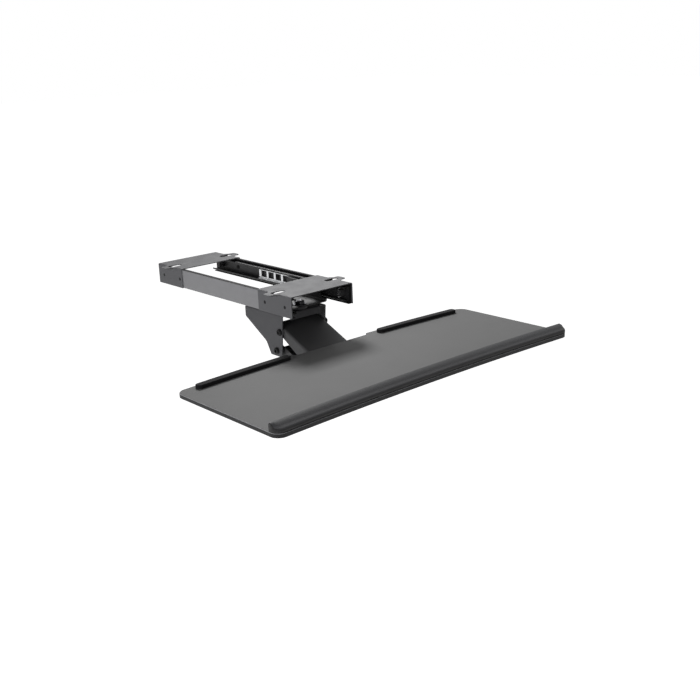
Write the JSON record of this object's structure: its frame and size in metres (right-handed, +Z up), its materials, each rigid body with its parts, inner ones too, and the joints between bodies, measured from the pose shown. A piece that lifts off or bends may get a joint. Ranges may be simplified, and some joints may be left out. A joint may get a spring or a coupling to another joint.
{
  "type": "keyboard tray",
  "caption": "Under-desk keyboard tray: a bowed board with padded palm rest on a tilting, lifting, swivelling arm that slides on ball-bearing rails.",
  "frame": {"origin": "middle of the mount frame, on the plane that meets the underside of the desk", "axes": "+Z up, +X to the user's right, +Y under the desk, away from the user"},
  "size_m": [0.673, 0.7268, 0.1817],
  "materials": {
    "black_steel": "fine textured black powder coat",
    "black_slide_steel": "smooth black zinc plate",
    "bright_zinc": "bright zinc plate",
    "ball_steel": "polished",
    "black_bolt": "black oxide",
    "zinc_washer": "zinc plate",
    "brass_insert": "machined",
    "spring_steel": "oiled spring wire",
    "black_nylon": "moulded, satin",
    "black_rubber": "matt",
    "dark_laminate": "fine-grained dark laminate over board, satin",
    "leatherette": "fine-grained leatherette over firm foam",
    "strip_plastic": "soft matt moulding"
  },
  "bodies": {
    "mount_frame": {"front_mount_plate": "black_steel", "rear_mount_plate": "black_steel", "left_rail": "black_steel", "right_rail": "black_steel", "frame_rivets": "black_slide_steel", "left_slide_outer": "black_slide_steel", "right_slide_outer": "black_slide_steel", "slide_rivets": "black_slide_steel", "front_slide_stops": "black_rubber", "rear_slide_stops": "black_rubber"},
    "left_cage": {"left_ball_cage": "bright_zinc", "left_slide_balls": "ball_steel"},
    "right_cage": {"right_ball_cage": "bright_zinc", "right_slide_balls": "ball_steel"},
    "carriage": {"carriage_plate": "black_steel", "left_slide_inner": "black_slide_steel", "right_slide_inner": "black_slide_steel", "slide_spacers": "black_bolt", "carriage_screws": "black_bolt", "carriage_bumpers": "black_rubber", "swivel_bolt": "black_bolt", "swivel_top_washer": "zinc_washer", "swivel_thrust_washer": "black_nylon", "swivel_bottom_washer": "zinc_washer", "swivel_nut": "black_bolt"},
    "arm_bracket": {"arm_bracket": "black_steel", "rear_upper_bolt": "black_bolt", "rear_lower_bolt": "black_bolt", "bracket_nuts": "black_bolt", "rear_link_spacers": "black_bolt", "spring_spool": "black_nylon", "lift_spring": "spring_steel"},
    "lift_arm": {"upper_arm": "black_steel", "arm_bushes": "black_nylon"},
    "lower_link": {"lower_link": "black_steel", "link_bushes": "black_nylon"},
    "head": {"head_bracket": "black_steel", "front_upper_bolt": "black_bolt", "front_lower_bolt": "black_bolt", "head_nuts": "black_bolt", "front_link_spacers": "black_bolt", "clamp_bolt": "black_bolt", "clamp_washer": "zinc_washer"},
    "tilt_knob": {"tilt_knob": "black_nylon", "knob_insert": "brass_insert"},
    "tray": {"tilt_plate": "black_steel", "tray_screws": "black_bolt", "tray_board": "dark_laminate", "palm_rest": "leatherette", "left_stop_strip": "strip_plastic", "right_stop_strip": "strip_plastic"}
  },
  "joints": [
    {"name": "carriage_slide", "type": "slide", "parent": "mount_frame", "child": "carriage", "axis": [0, 1, 0], "range_m": [0, 0.23]},
    {"name": "left_cage_slide", "type": "slide", "parent": "mount_frame", "child": "left_cage", "axis": [0, 1, 0], "range_m": [0, 0.115]},
    {"name": "right_cage_slide", "type": "slide", "parent": "mount_frame", "child": "right_cage", "axis": [0, 1, 0], "range_m": [0, 0.115]},
    {"name": "swivel", "type": "hinge", "parent": "carriage", "child": "arm_bracket", "pos_m": [0, -0.15, -0.0425], "axis": [0, 0, 1], "range_deg": [-45, 45]},
    {"name": "arm_lift", "type": "hinge", "parent": "arm_bracket", "child": "lift_arm", "pos_m": [0, -0.1536, -0.0803], "axis": [-1, 0, 0], "range_deg": [-11, 12]},
    {"name": "lower_link_lift", "type": "hinge", "parent": "arm_bracket", "child": "lower_link", "pos_m": [0, -0.1424, -0.1177], "axis": [-1, 0, 0], "range_deg": [-11, 12]},
    {"name": "head_level", "type": "hinge", "parent": "lift_arm", "child": "head", "pos_m": [0, -0.27236, -0.13318], "axis": [-1, 0, 0], "range_deg": [-12, 11]},
    {"name": "tray_tilt", "type": "hinge", "parent": "head", "child": "tray", "pos_m": [0, -0.27236, -0.13318], "axis": [-1, 0, 0], "range_deg": [-15, 9]},
    {"name": "tilt_knob_turn", "type": "hinge", "parent": "head", "child": "tilt_knob", "pos_m": [0.0656, -0.30036, -0.13318], "axis": [1, 0, 0], "range_deg": [0, 270]}
  ],
  "couplings": [
    {"joint": "left_cage_slide", "follows": "carriage_slide", "ratio": 0.5},
    {"joint": "right_cage_slide", "follows": "carriage_slide", "ratio": 0.5},
    {"joint": "lower_link_lift", "follows": "arm_lift", "ratio": 1},
    {"joint": "head_level", "follows": "arm_lift", "ratio": -1}
  ]
}
